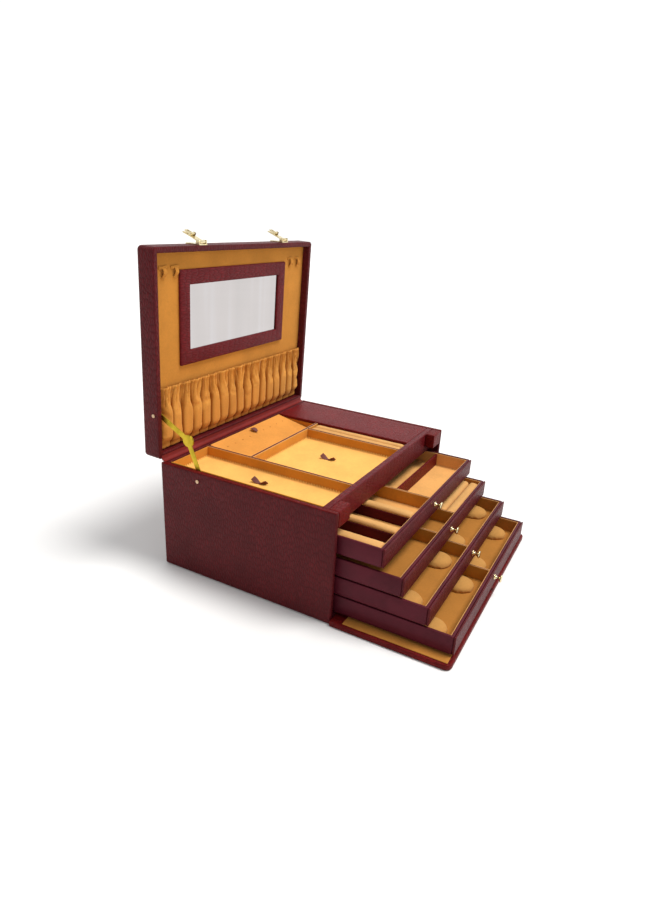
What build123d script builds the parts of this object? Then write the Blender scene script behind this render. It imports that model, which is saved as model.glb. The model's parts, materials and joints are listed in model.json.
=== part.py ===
"""Leather-covered jewellery case: flip-up lid with mirror, drop-down front flap and four drawers.

Millimetres. X runs along the case's width, +Y points to the hinged back and +Z is up. The origin
is the centre of the underside. The case stands as it is used: lid up on its folding stay, front
flap down on the table, and the drawers pulled out in steps.
"""
import math
import os

from build123d import *

os.makedirs("parts", exist_ok=True)

# ---- case -------------------------------------------------------------------------------------
CASE_W = 320.0
CASE_D = 232.0
CASE_H = 134.0
SIDE_T = 6.0
BACK_T = 7.0
BASE_T = 9.0
LEATHER_R = 1.5          # rounding of leather-covered edges
SUEDE_T = 1.0            # suede lining
SEAM = 0.05              # hairline between boards that meet in one sub-part

side_x = CASE_W / 2 - SIDE_T
front_y = -CASE_D / 2
back_y = CASE_D / 2
back_in = back_y - BACK_T

# ---- jewellery well under the lid --------------------------------------------------------------
RAIL_SETBACK = 13.0      # the front rail stands back to leave room for the knobs
RAIL_T = 8.0
SHELF_T = 3.0
SHELF_Z = 104.8
EAR_W = 26.0
EAR_H = 19.0
COVER_X = 79.0           # inner edge of the fixed leather cover on the right
COVER_T = 4.0
PART_T = 4.0             # partitions
LEFT_WALL_X = -82.5      # between the long left tray and the rest
ROLL_WALL_X = 51.0       # between the centre tray and the ring rolls
MID_WALL_Y = 44.0        # between the centre tray and the earring panel
FLOOR_Z = 119.5          # top of the lift-out floor pads
PAD_T = 3.0
ROLL_TOP_Z = 132.0       # the ring rolls stand nearly level with the partitions
STAY_SLOT = 3.5          # gap beside the left end board for the folding stay

rail_y = front_y + RAIL_SETBACK
rail_in = rail_y + RAIL_T
shelf_top = SHELF_Z + SHELF_T
well_x = -side_x + STAY_SLOT

# ---- drawers -----------------------------------------------------------------------------------
DRAWER_W = 298.0
DRAWER_L = 204.0
DRAWER_H = 21.4
DRAWER_SIDE = 3.2
DRAWER_FRONT = 6.0
DRAWER_BOTTOM = 2.0
DRAWER_Z = (82.4, 56.0, 33.0, 10.0)          # undersides, top drawer first
DRAWER_OUT = (64.0, 88.0, 118.0, 148.0)      # how far each one is pulled out
RUNNER_T = 0.8
RUNNER_W = 9.0
LINER_T = 4.4
KNOB_R = 4.6
KNOB_L = 9.0

# ---- front flap --------------------------------------------------------------------------------
FLAP_W = 326.0
FLAP_T = 6.6
FLAP_END_Y = -253.0
FLAP_HINGE = (-122.4, 3.4)                   # y, z of the hinge line
FLAP_PIN_R = 1.0
FLAP_BARREL_R = 2.2

# ---- lid ---------------------------------------------------------------------------------------
LID_OPEN = 88.3                              # degrees from closed
LID_HINGE = (117.8, 134.0)                   # y, z of the hinge line
LID_GAP = 0.3
LID_T = 23.5
LID_FRONT_Y = -119.0
LID_WALL = 6.5
LID_TOP_T = 12.0
HINGE_W = 300.0
LID_PIN_R = 0.8
LID_BARREL_R = 1.5
KNUCKLES = 15
MIRROR_W = 181.0
MIRROR_H = 74.0
MIRROR_BORDER = 17.0
MIRROR_X, MIRROR_Y = -5.5, -39.5             # centre of the mirror with the lid closed
POCKET_Y = (34.0, 108.0)
HASPS_X = (-80.0, 90.0)

# ---- folding stay, in the plane of the left end board -------------------------------------------
STAY_LOW = (62.0, 123.5)                     # y, z of the pivot on the case
STAY_MID = (80.0, 166.0)                     # the joint between the two links
STAY_TOP = (122.6, 188.9)                    # the pivot on the lid
LINK_T = 0.8
LINK_W = 6.2
LINK_DISC_R = 7.2                            # the round plates at the middle joint
LINK_GAP = 0.3

lid_low = LID_HINGE[1] + LID_GAP
lid_high = lid_low + LID_T
lid_top_low = lid_high - LID_TOP_T
LID_AXIS = Axis((0, LID_HINGE[0], LID_HINGE[1]), (1, 0, 0))


def block(low, high, seam=0.0):
    """Add a board between two corners to the part being built, drawn in by a seam all round."""
    with Locations(tuple((a + b) / 2 for a, b in zip(low, high))):
        Box(*[b - a - 2 * seam for a, b in zip(low, high)])


def rod(centre, radius, length, axis):
    """Add a round rod centred on a point, along "X" or "Y"."""
    turn = (0, 90, 0) if axis == "X" else (90, 0, 0)
    with Locations(Location(centre, turn)):
        Cylinder(radius, length)


def save(builder, label):
    builder.part.label = label
    export_step(builder.part, f"parts/{label}.step")


def save_lid(builder, label):
    """Lid parts are drawn closed and swung up to the open rest position."""
    swung = builder.part.rotate(LID_AXIS, -LID_OPEN)
    swung.label = label
    export_step(swung, f"parts/{label}.step")


# ---- case boards --------------------------------------------------------------------------------
with BuildPart() as base_board:
    block((-side_x, front_y, 0), (side_x, back_in, BASE_T))
save(base_board, "base_board")

with BuildPart() as side_boards:
    block((-CASE_W / 2, front_y, 0), (-side_x, back_y, CASE_H))
    block((side_x, front_y, 0), (CASE_W / 2, back_y, CASE_H))
    outer = side_boards.edges().filter_by(lambda e: abs(abs(e.center().X) - CASE_W / 2) < 0.1)
    fillet(outer, LEATHER_R)
save(side_boards, "side_boards")

with BuildPart() as back_board:
    block((-side_x, back_in, 0), (side_x, back_y, CASE_H))
save(back_board, "back_board")

# the shelf under the jewellery well, and a second one between the first and second drawers
with BuildPart() as shelf_boards:
    block((-side_x, rail_in, SHELF_Z), (side_x, back_in, shelf_top))
    block((-side_x, rail_y + 2, 77.8), (side_x, back_in, 82.0))
save(shelf_boards, "shelf_boards")

# the rail behind the flap, with a corner block at each end flush with the end boards
with BuildPart() as front_rail:
    block((-side_x, rail_y, SHELF_Z), (side_x, rail_in, CASE_H))
    for sign in (-1, 1):
        xs = sorted((sign * (side_x - EAR_W), sign * side_x))
        block((xs[0], front_y, CASE_H - EAR_H), (xs[1], rail_y, CASE_H), SEAM)
save(front_rail, "front_rail")

with BuildPart() as right_cover:
    block((COVER_X, rail_in, CASE_H - COVER_T), (side_x, back_in, CASE_H))
    block((COVER_X, rail_in, shelf_top), (COVER_X + PART_T, back_in, CASE_H - COVER_T), SEAM)
save(right_cover, "right_cover")

with BuildPart() as well_partitions:
    high = CASE_H - 1
    block((LEFT_WALL_X - PART_T / 2, rail_in, shelf_top), (LEFT_WALL_X + PART_T / 2, back_in, high))
    block((LEFT_WALL_X + PART_T / 2, MID_WALL_Y - PART_T / 2, shelf_top),
          (COVER_X, MID_WALL_Y + PART_T / 2, high), SEAM)
    block((ROLL_WALL_X - PART_T / 2, rail_in, shelf_top),
          (ROLL_WALL_X + PART_T / 2, MID_WALL_Y - PART_T / 2, high), SEAM)
    # the board that closes the stay's slot off from the left tray
    block((well_x, rail_in, shelf_top), (well_x + 1.4, back_in, high))
save(well_partitions, "well_partitions")

# suede on the inside of the well: ledge strips that carry the floor pads, and the end faces
with BuildPart() as well_lining:
    ledge = FLOOR_Z - PAD_T - 0.3
    high = CASE_H - 2
    left = (well_x + 1.4, LEFT_WALL_X - PART_T / 2)
    centre = (LEFT_WALL_X + PART_T / 2, ROLL_WALL_X - PART_T / 2)
    for (x0, x1), y1 in ((left, back_in), (centre, MID_WALL_Y - PART_T / 2)):
        block((x0, rail_in, shelf_top), (x1, rail_in + 6, ledge), SEAM)
        block((x0, y1 - 6, shelf_top), (x1, y1, ledge), SEAM)
        block((x0, rail_in, ledge), (x1, rail_in + SUEDE_T, high))
        block((x0, y1 - SUEDE_T, ledge), (x1, y1, high))
save(well_lining, "well_lining")

with BuildPart() as ring_rolls:
    roll_low = ROLL_WALL_X + PART_T / 2 + 0.5
    roll_w = (COVER_X - 0.5 - roll_low) / 2
    for k in range(2):
        x0 = roll_low + k * roll_w
        block((x0, rail_in + 1, shelf_top), (x0 + roll_w - 0.4, MID_WALL_Y - PART_T / 2 - 1, ROLL_TOP_Z))
    fillet(ring_rolls.edges().filter_by(Axis.Y).group_by(Axis.Z)[-1], 4)
save(ring_rolls, "ring_rolls")

# side liners in the drawer space, with thin runner strips between the drawers
with BuildPart() as drawer_runners:
    for sign in (-1, 1):
        xs = sorted((sign * (side_x - LINER_T), sign * side_x))
        for z0, z1 in ((BASE_T, 77.8), (82.0, SHELF_Z)):
            block((xs[0], rail_y + 2, z0), (xs[1], back_in, z1))
        ledge_x = sorted((sign * (side_x - LINER_T), sign * (side_x - LINER_T - RUNNER_W)))
        for z0 in (DRAWER_Z[1], DRAWER_Z[2]):
            block((ledge_x[0], rail_y + 2, z0 - 0.4 - RUNNER_T), (ledge_x[1], back_in, z0 - 0.4), SEAM)
        block((ledge_x[0], rail_y + 2, BASE_T), (ledge_x[1], back_in, DRAWER_Z[3] - 0.4), SEAM)
save(drawer_runners, "drawer_runners")

# ---- hinges -------------------------------------------------------------------------------------
KNUCKLE_GAP = 0.3
knuckle_l = HINGE_W / KNUCKLES


def knuckles(hinge, radius, first):
    """Every second knuckle of a piano hinge, starting with number `first`."""
    for k in range(first, KNUCKLES, 2):
        x = -HINGE_W / 2 + (k + 0.5) * knuckle_l
        rod((x, hinge[0], hinge[1]), radius, knuckle_l - KNUCKLE_GAP, "X")


def bore(hinge, radius):
    """Clear the pin's hole through whatever has been built."""
    with Locations(Location((0, hinge[0], hinge[1]), (0, 90, 0))):
        Cylinder(radius, HINGE_W + 2, mode=Mode.SUBTRACT)


def arms(hinge, first, reach):
    """The arms that carry the knuckles, from the hinge line to a corner of the leaf."""
    half = (knuckle_l - KNUCKLE_GAP) / 2
    ys = sorted((hinge[0], reach[0]))
    zs = sorted((hinge[1], reach[1]))
    for k in range(first, KNUCKLES, 2):
        x = -HINGE_W / 2 + (k + 0.5) * knuckle_l
        block((x - half, ys[0], zs[0]), (x + half, ys[1], zs[1]))


LEAF_T = 0.8
LID_LEAF_UP = 2.0        # each leaf of the lid's hinge stops this far from the hinge line
flap_near = FLAP_HINGE[0] - 3.2

with BuildPart() as hinge_leaves_case:
    block((-HINGE_W / 2, back_y, 116), (HINGE_W / 2, back_y + LEAF_T, LID_HINGE[1] - LID_LEAF_UP))
    knuckles(LID_HINGE, LID_BARREL_R, 0)
    for k in range(0, KNUCKLES, 2):
        x = -HINGE_W / 2 + (k + 0.5) * knuckle_l
        half = (knuckle_l - KNUCKLE_GAP) / 2
        block((x - half, back_y, LID_HINGE[1] - LID_LEAF_UP - 0.4), (x + half, back_y + LEAF_T, LID_HINGE[1]))
    bore(LID_HINGE, LID_PIN_R + 0.05)
    block((-HINGE_W / 2, front_y - LEAF_T, 1), (HINGE_W / 2, front_y, 8))
    knuckles(FLAP_HINGE, FLAP_BARREL_R, 0)
    arms(FLAP_HINGE, 0, (front_y - 0.2, FLAP_HINGE[1] + 2))
    bore(FLAP_HINGE, FLAP_PIN_R + 0.05)
save(hinge_leaves_case, "hinge_leaves_case")

with BuildPart() as hinge_pins:
    rod((0, LID_HINGE[0], LID_HINGE[1]), LID_PIN_R, HINGE_W, "X")
    rod((0, FLAP_HINGE[0], FLAP_HINGE[1]), FLAP_PIN_R, HINGE_W, "X")
save(hinge_pins, "hinge_pins")

# ---- lift-out floor pads and the earring panel ---------------------------------------------------
PAD_GAP = 0.5
left_pad_x = (well_x + 1.4 + PAD_GAP, LEFT_WALL_X - PART_T / 2 - PAD_GAP)
centre_pad_x = (LEFT_WALL_X + PART_T / 2 + PAD_GAP, ROLL_WALL_X - PART_T / 2 - PAD_GAP)
pad_y0 = rail_in + SUEDE_T + PAD_GAP
left_pad_y = (pad_y0, back_in - SUEDE_T - PAD_GAP)
centre_pad_y = (pad_y0, MID_WALL_Y - PART_T / 2 - SUEDE_T - PAD_GAP)
LEAF = (5.0, 11.0, 1.2)
PULL_SHIFT = {"left": (0.0, 0.0), "centre": (9.8, 4.7)}     # off the middle of each pad


def leaf_pull(x, y, z):
    """A pull made of two short leather leaves that lean apart."""
    for side in (-1, 1):
        with Locations(Location((x, y + side * 5.5, z + 3.9), (side * 38, 0, 0))):
            Box(*LEAF)
    with Locations((x, y, z + 0.6)):
        Box(LEAF[0], 5, 1.2)


for name, xs, ys in (("left", left_pad_x, left_pad_y), ("centre", centre_pad_x, centre_pad_y)):
    with BuildPart() as pad:
        block((xs[0], ys[0], FLOOR_Z - PAD_T), (xs[1], ys[1], FLOOR_Z))
    save(pad, f"{name}_pad")
    with BuildPart() as pull:
        shift = PULL_SHIFT[name]
        leaf_pull(sum(xs) / 2 + shift[0], sum(ys) / 2 + shift[1], FLOOR_Z)
    save(pull, f"{name}_pad_pull")

# the earring panel slopes down towards the front, where its suede edge is the hinge
PANEL_T = 3.0
TAB_IN = 11.0             # how far the panel's pull sits from its back edge
panel_x = (LEFT_WALL_X + PART_T / 2 + 1, COVER_X - 1)
panel_front = (MID_WALL_Y + PART_T / 2 + 2.5, 121.0)
panel_back = (back_in - 1.2, CASE_H - 0.8)
panel_tilt = math.degrees(math.atan2(panel_back[1] - panel_front[1], panel_back[0] - panel_front[0]))
panel_l = math.hypot(panel_back[0] - panel_front[0], panel_back[1] - panel_front[1])
PANEL_PLANE = Plane(origin=(0, panel_front[0], panel_front[1]), x_dir=(1, 0, 0),
                    z_dir=(0, -math.sin(math.radians(panel_tilt)), math.cos(math.radians(panel_tilt))))
# its front edge is a rolled bead, and the panel turns up on it
PANEL_HINGE = (panel_front[0] + PANEL_T / 2 * math.sin(math.radians(panel_tilt)),
               panel_front[1] - PANEL_T / 2 * math.cos(math.radians(panel_tilt)))

with BuildPart() as earring_panel:
    with BuildSketch(PANEL_PLANE.offset(-PANEL_T)):
        with Locations(((panel_x[0] + panel_x[1]) / 2, panel_l / 2)):
            Rectangle(panel_x[1] - panel_x[0], panel_l)
    extrude(amount=PANEL_T)
    rod((sum(panel_x) / 2, PANEL_HINGE[0], PANEL_HINGE[1]), PANEL_T / 2, panel_x[1] - panel_x[0], "X")
save(earring_panel, "earring_panel")

with BuildPart() as earring_pull:
    with Locations(PANEL_PLANE.offset(1.8)):
        with Locations(Location((0, panel_l - TAB_IN, 0), (14, 0, 0))):
            Box(9, 9, 1.2)
save(earring_pull, "earring_pull")

# ---- front flap ----------------------------------------------------------------------------------
CATCH = (16.0, 12.0, 1.2)
catch_y = FLAP_END_Y + 14

with BuildPart() as flap_board:
    block((-FLAP_W / 2, FLAP_END_Y, 0), (FLAP_W / 2, flap_near, FLAP_T))
    fillet(flap_board.edges().filter_by(Axis.Z), 6)
    fillet(flap_board.faces().sort_by(Axis.Z)[-1].edges(), 1)
    with Locations(*((x, catch_y, 0.7) for x in HASPS_X)):
        Box(CATCH[0] + 0.1, CATCH[1] + 0.1, 1.4, mode=Mode.SUBTRACT)
save(flap_board, "flap_board")

with BuildPart() as flap_lining:
    block((-FLAP_W / 2 + 6, FLAP_END_Y + 6, FLAP_T), (FLAP_W / 2 - 6, flap_near - 5, FLAP_T + SUEDE_T))
save(flap_lining, "flap_lining")

with BuildPart() as catch_plates:
    with Locations(*((x, catch_y, 0.8) for x in HASPS_X)):
        Box(*CATCH)
        Box(9, 2.4, 3, mode=Mode.SUBTRACT)
save(catch_plates, "catch_plates")

with BuildPart() as flap_hinge_leaf:
    block((-HINGE_W / 2, flap_near, 1), (HINGE_W / 2, flap_near + 0.7, 6))
    knuckles(FLAP_HINGE, FLAP_BARREL_R, 1)
    arms(FLAP_HINGE, 1, (flap_near + 0.2, FLAP_HINGE[1] + 2))
    bore(FLAP_HINGE, FLAP_PIN_R + 0.05)
save(flap_hinge_leaf, "flap_hinge_leaf")

# ---- lid -----------------------------------------------------------------------------------------
lid_half = CASE_W / 2
lid_in = lid_half - LID_WALL

with BuildPart() as lid_walls:
    block((-lid_half, LID_FRONT_Y, lid_low), (-lid_in, back_y, lid_high))
    block((lid_in, LID_FRONT_Y, lid_low), (lid_half, back_y, lid_high))
    block((-lid_in, LID_FRONT_Y, lid_low), (lid_in, LID_FRONT_Y + LID_WALL, lid_high), SEAM)
    block((-lid_in, back_y - LID_WALL, lid_low), (lid_in, back_y, lid_high), SEAM)
save_lid(lid_walls, "lid_walls")

lid_y = (LID_FRONT_Y + LID_WALL, back_y - LID_WALL)
with BuildPart() as lid_top:
    block((-lid_in, lid_y[0], lid_top_low), (lid_in, lid_y[1], lid_high))
save_lid(lid_top, "lid_top")

with BuildPart() as lid_lining:
    block((-lid_in, lid_y[0], lid_top_low - 1.6), (lid_in, lid_y[1], lid_top_low))
save_lid(lid_lining, "lid_lining")

lining_z = lid_top_low - 1.6
frame_w = MIRROR_W + 2 * MIRROR_BORDER
frame_h = MIRROR_H + 2 * MIRROR_BORDER
with BuildPart() as mirror_frame:
    with Locations((MIRROR_X, MIRROR_Y, lining_z - 2.0)):
        Box(frame_w, frame_h, 4.0)
    with Locations((MIRROR_X, MIRROR_Y, lining_z - 2.0)):
        Box(MIRROR_W, MIRROR_H, 4.0, mode=Mode.SUBTRACT)
    with Locations((MIRROR_X, MIRROR_Y, lining_z - 1.1)):
        Box(MIRROR_W + 8, MIRROR_H + 8, 2.2, mode=Mode.SUBTRACT)
save_lid(mirror_frame, "mirror_frame")

with BuildPart() as mirror:
    with Locations((MIRROR_X, MIRROR_Y, lining_z - 1.1)):
        Box(MIRROR_W + 7.6, MIRROR_H + 7.6, 2.0)
save_lid(mirror, "mirror")

with BuildPart() as elastic_pocket:
    block((-lid_in + 3.5, POCKET_Y[0], lining_z - 5.4), (lid_in - 3.5, POCKET_Y[1], lining_z))
    fillet(elastic_pocket.edges().filter_by(Axis.X).group_by(Axis.Z)[0], 3)
save_lid(elastic_pocket, "elastic_pocket")

TAB_X = (118.0, 137.0)
TAB_Y = -92.0
with BuildPart() as necklace_tabs:
    for x in TAB_X:
        with Locations((x, TAB_Y, lining_z - 1.2), (-x, TAB_Y, lining_z - 1.2)):
            Box(9, 16, 2.4)
save_lid(necklace_tabs, "necklace_tabs")

with BuildPart() as hinge_leaf_lid:
    block((-HINGE_W / 2, back_y, LID_HINGE[1] + LID_LEAF_UP), (HINGE_W / 2, back_y + LEAF_T, 150))
    knuckles(LID_HINGE, LID_BARREL_R, 1)
    for k in range(1, KNUCKLES, 2):
        x = -HINGE_W / 2 + (k + 0.5) * knuckle_l
        half = (knuckle_l - KNUCKLE_GAP) / 2
        block((x - half, back_y, LID_HINGE[1]), (x + half, back_y + LEAF_T, LID_HINGE[1] + LID_LEAF_UP + 0.4))
    bore(LID_HINGE, LID_PIN_R + 0.05)
save_lid(hinge_leaf_lid, "hinge_leaf_lid")

# ---- hasps on the front wall of the lid ----------------------------------------------------------
HASP_W = 14.0
HASP_PLATE_T = 1.2
HASP_PIN = (LID_FRONT_Y - 3.4, lid_low + 3.2)     # y, z of the lever's pin, lid closed
LEVER_OUT = 20.0                                   # degrees the lever stands off the wall
LEVER_HEEL = 1.5                                   # square heel that clears the plate as it turns
LOOP_PIN_UP = 15.0                                 # along the lever from its own pin

with BuildPart() as hasp_plates:
    for x in HASPS_X:
        block((x - HASP_W / 2, LID_FRONT_Y - HASP_PLATE_T, lid_low + 0.6),
              (x + HASP_W / 2, LID_FRONT_Y, lid_high - 3))
        for ear in (-1, 1):
            ex = x + ear * (HASP_W / 2 - 0.7)
            block((ex - 0.7, HASP_PIN[0] - 2.0, HASP_PIN[1] - 2.0),
                  (ex + 0.7, LID_FRONT_Y - HASP_PLATE_T, HASP_PIN[1] + 2.6))
        rod((x, HASP_PIN[0], HASP_PIN[1]), 0.9, HASP_W, "X")
save_lid(hasp_plates, "hasp_plates")

LEVER_W = 9.0
LEVER_AXIS = Axis((0, HASP_PIN[0], HASP_PIN[1]), (1, 0, 0))
loop_pin = (HASP_PIN[0] - 2.4, HASP_PIN[1] + LOOP_PIN_UP)

for side, x in zip(("left", "right"), HASPS_X):
    with BuildPart() as lever:
        rod((x, HASP_PIN[0], HASP_PIN[1]), 2.0, LEVER_W, "X")
        block((x - LEVER_W / 2, HASP_PIN[0] - 0.6, HASP_PIN[1]),
              (x + LEVER_W / 2, HASP_PIN[0] + 0.6, HASP_PIN[1] + 25))
        block((x - LEVER_W / 2, HASP_PIN[0] - LEVER_HEEL, HASP_PIN[1] - LEVER_HEEL),
              (x + LEVER_W / 2, HASP_PIN[0], HASP_PIN[1]))
        for ear in (-1, 1):
            ex = x + ear * (LEVER_W / 2 - 0.6)
            block((ex - 0.6, loop_pin[0] - 1.6, loop_pin[1] - 1.6),
                  (ex + 0.6, HASP_PIN[0], loop_pin[1] + 1.6))
        rod((x, loop_pin[0], loop_pin[1]), 0.7, LEVER_W, "X")
        with Locations(Location((x, HASP_PIN[0], HASP_PIN[1]), (0, 90, 0))):
            Cylinder(0.95, HASP_W, mode=Mode.SUBTRACT)
    swung = lever.part.rotate(LEVER_AXIS, LEVER_OUT).rotate(LID_AXIS, -LID_OPEN)
    swung.label = f"hasp_lever_{side}"
    export_step(swung, f"parts/hasp_lever_{side}.step")
    with BuildPart() as loop:
        rod((x, loop_pin[0], loop_pin[1]), 1.5, LEVER_W - 3.2, "X")
        for ear in (-1, 1):
            ex = x + ear * 2.2
            block((ex - 0.6, loop_pin[0] - 0.6, loop_pin[1]), (ex + 0.6, loop_pin[0] + 0.6, loop_pin[1] + 9))
        block((x - 2.8, loop_pin[0] - 0.6, loop_pin[1] + 8), (x + 2.8, loop_pin[0] + 0.6, loop_pin[1] + 9.2))
        with Locations(Location((x, loop_pin[0], loop_pin[1]), (0, 90, 0))):
            Cylinder(0.75, HASP_W, mode=Mode.SUBTRACT)
    swung = loop.part.rotate(LEVER_AXIS, LEVER_OUT).rotate(LID_AXIS, -LID_OPEN)
    swung.label = f"hasp_loop_{side}"
    export_step(swung, f"parts/hasp_loop_{side}.step")

# ---- folding stay --------------------------------------------------------------------------------
low_x = (-lid_in + LINK_GAP, -lid_in + LINK_GAP + LINK_T)
top_x = (low_x[1] + LINK_GAP, low_x[1] + LINK_GAP + LINK_T)
CAP_T = 0.5
RIVET_R = 1.5


def link(ends, xs, disc_end, disc_r, hole_end):
    """Add a flat link between two pivots, round at both ends and pierced at one."""
    thick = xs[1] - xs[0]
    mid_x = (xs[0] + xs[1]) / 2
    (ya, za), (yb, zb) = ends
    angle = math.degrees(math.atan2(zb - za, yb - ya))
    length = math.hypot(yb - ya, zb - za)
    with Locations(Location((mid_x, (ya + yb) / 2, (za + zb) / 2), (angle, 0, 0))):
        Box(thick, length, LINK_W)
    for k, (y, z) in enumerate(ends):
        rod((mid_x, y, z), disc_r if k == disc_end else LINK_W / 2, thick, "X")
    y, z = ends[hole_end]
    with Locations(Location((mid_x, y, z), (0, 90, 0))):
        Cylinder(RIVET_R + 0.05, 2 * thick, mode=Mode.SUBTRACT)


with BuildPart() as stay_lower:
    link((STAY_LOW, STAY_MID), low_x, 1, LINK_DISC_R, 0)
save(stay_lower, "stay_lower")

with BuildPart() as stay_upper:
    link((STAY_MID, STAY_TOP), top_x, 0, LINK_DISC_R, 1)
    rod((top_x[1] + CAP_T / 2, STAY_MID[0], STAY_MID[1]), 2.4, CAP_T, "X")
save(stay_upper, "stay_upper")

HEAD_R = 2.1
HEAD_T = 1.0


def rivet(pivot, inner, outer_end):
    """A rivet shown as its shank inside the board and its head outside."""
    rod(((inner + outer_end) / 2, pivot[0], pivot[1]), RIVET_R, outer_end - inner, "X")
    rod((-CASE_W / 2 - HEAD_T / 2, pivot[0], pivot[1]), HEAD_R, HEAD_T, "X")


with BuildPart() as stay_rivet_case:
    rivet(STAY_LOW, -side_x, low_x[1] + 0.2)
save(stay_rivet_case, "stay_rivet_case")

with BuildPart() as stay_rivet_lid:
    rivet(STAY_TOP, -lid_in, top_x[1] + 0.2)
save(stay_rivet_lid, "stay_rivet_lid")

# ---- drawers -------------------------------------------------------------------------------------
half_w = DRAWER_W / 2
in_x = half_w - DRAWER_SIDE
floor_up = DRAWER_BOTTOM + SUEDE_T
wall_up = DRAWER_H - 1.2
clear_x = in_x - SUEDE_T
LENGTH_IN = (DRAWER_FRONT + SUEDE_T, DRAWER_L - 4 - SUEDE_T)


def drawer_block(number, low, high, seam=SEAM):
    """Add a board given in the drawer's own frame: x, distance behind the front face, height."""
    y = rail_y - DRAWER_OUT[number - 1]
    z = DRAWER_Z[number - 1]
    block((low[0], y + low[1], z + low[2]), (high[0], y + high[1], z + high[2]), seam)


for n in range(1, 5):
    with BuildPart() as box:
        drawer_block(n, (-half_w, 0, 0), (half_w, DRAWER_FRONT, DRAWER_H), 0)
        drawer_block(n, (-half_w, DRAWER_FRONT, 0), (-in_x, DRAWER_L, DRAWER_H))
        drawer_block(n, (in_x, DRAWER_FRONT, 0), (half_w, DRAWER_L, DRAWER_H))
        drawer_block(n, (-in_x, DRAWER_L - 4, 0), (in_x, DRAWER_L, DRAWER_H))
        drawer_block(n, (-in_x, DRAWER_FRONT, 0), (in_x, DRAWER_L - 4, DRAWER_BOTTOM))
    save(box, f"drawer_{n}_box")
    with BuildPart() as lining:
        drawer_block(n, (-in_x, DRAWER_FRONT, DRAWER_BOTTOM), (in_x, DRAWER_L - 4, floor_up))
        drawer_block(n, (-in_x, DRAWER_FRONT, floor_up), (in_x, LENGTH_IN[0], wall_up))
        drawer_block(n, (-in_x, LENGTH_IN[1], floor_up), (in_x, DRAWER_L - 4, wall_up))
        drawer_block(n, (-in_x, LENGTH_IN[0], floor_up), (-clear_x, LENGTH_IN[1], wall_up))
        drawer_block(n, (clear_x, LENGTH_IN[0], floor_up), (in_x, LENGTH_IN[1], wall_up))
    save(lining, f"drawer_{n}_lining")
    knob_y = rail_y - DRAWER_OUT[n - 1]
    knob_z = DRAWER_Z[n - 1] + DRAWER_H / 2 + 2
    with BuildPart() as knob:
        with BuildSketch(Plane.XY):
            with BuildLine():
                Polyline((0, 0), (2.8, 0), (2.8, 1.0), (1.7, 2.0), (1.7, 5.5), (3.6, 7.6),
                         (KNOB_R, 8.0), (KNOB_R, KNOB_L), (0, KNOB_L), (0, 0))
            make_face()
        revolve(axis=Axis.Y)
    placed = knob.part.rotate(Axis.X, 180).translate((0, knob_y, knob_z))
    placed.label = f"drawer_{n}_knob"
    export_step(placed, f"parts/drawer_{n}_knob.step")

# drawer 1: three padded bars with slots between them on the left, two bays on the right
top_up = DRAWER_H - 1.5
with BuildPart() as drawer_1_dividers:
    drawer_block(1, (-1.5, LENGTH_IN[0], floor_up), (1.5, LENGTH_IN[1], top_up))
    drawer_block(1, (1.5, 48.5, floor_up), (clear_x, 51.5, top_up))
save(drawer_1_dividers, "drawer_1_dividers")

BARS = ((-clear_x, -128.0), (-104.0, -90.0), (-59.0, -45.0))
with BuildPart() as drawer_1_bars:
    for x0, x1 in BARS:
        drawer_block(1, (x0, LENGTH_IN[0], floor_up), (x1, LENGTH_IN[1], top_up - 0.5))
    fillet(drawer_1_bars.edges().filter_by(Axis.Y).group_by(Axis.Z)[-1], 2)
save(drawer_1_bars, "drawer_1_bars")

# drawer 2: a wide bay, a middle bay, and ring rolls on the right
MID_X = 31.0
with BuildPart() as drawer_2_dividers:
    for x in (-MID_X, MID_X):
        drawer_block(2, (x - 1.5, LENGTH_IN[0], floor_up), (x + 1.5, LENGTH_IN[1], top_up))
save(drawer_2_dividers, "drawer_2_dividers")

ROLLS = 14
with BuildPart() as drawer_2_rolls:
    pitch = (LENGTH_IN[1] - LENGTH_IN[0]) / ROLLS
    for k in range(ROLLS):
        d0 = LENGTH_IN[0] + k * pitch
        drawer_block(2, (MID_X + 1.5, d0 + 0.3, floor_up), (clear_x, d0 + pitch - 0.3, 17.5))
    fillet(drawer_2_rolls.edges().filter_by(Axis.X).group_by(Axis.Z)[-1], 4.5)
save(drawer_2_rolls, "drawer_2_rolls")

# drawers 3 and 4: two bays, each with a rounded bolster along both ends
PAD_W = 37.0
PAD_H = 8.0
PAD_X = (-124.0, -27.0, 27.0, 124.0)
PAD_D = (15.0, 185.0)
for n in (3, 4):
    with BuildPart() as divider:
        drawer_block(n, (-1.5, LENGTH_IN[0], floor_up), (1.5, LENGTH_IN[1], top_up))
    save(divider, f"drawer_{n}_divider")
    with BuildPart() as pads:
        y = rail_y - DRAWER_OUT[n - 1]
        with BuildSketch(Plane.XY.offset(DRAWER_Z[n - 1] + floor_up)):
            with Locations([(x, y + sum(PAD_D) / 2) for x in PAD_X]):
                SlotOverall(PAD_D[1] - PAD_D[0], PAD_W, rotation=90)
        extrude(amount=PAD_H)
        fillet(pads.faces().filter_by(Axis.Z).group_by(Axis.Z)[-1].edges(), 4)
    save(pads, f"drawer_{n}_pads")
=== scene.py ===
"""Looks of the leather jewellery case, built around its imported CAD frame.

Places and sizes come from the frame's own nodes. Helpers work in millimetres and scale to metres
when a mesh is made. Lid pieces are drawn with the lid closed and swung up by the lid joint's range.
"""
import json
import math

import bmesh
import bpy
from mathutils import Matrix, Vector, noise


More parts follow.
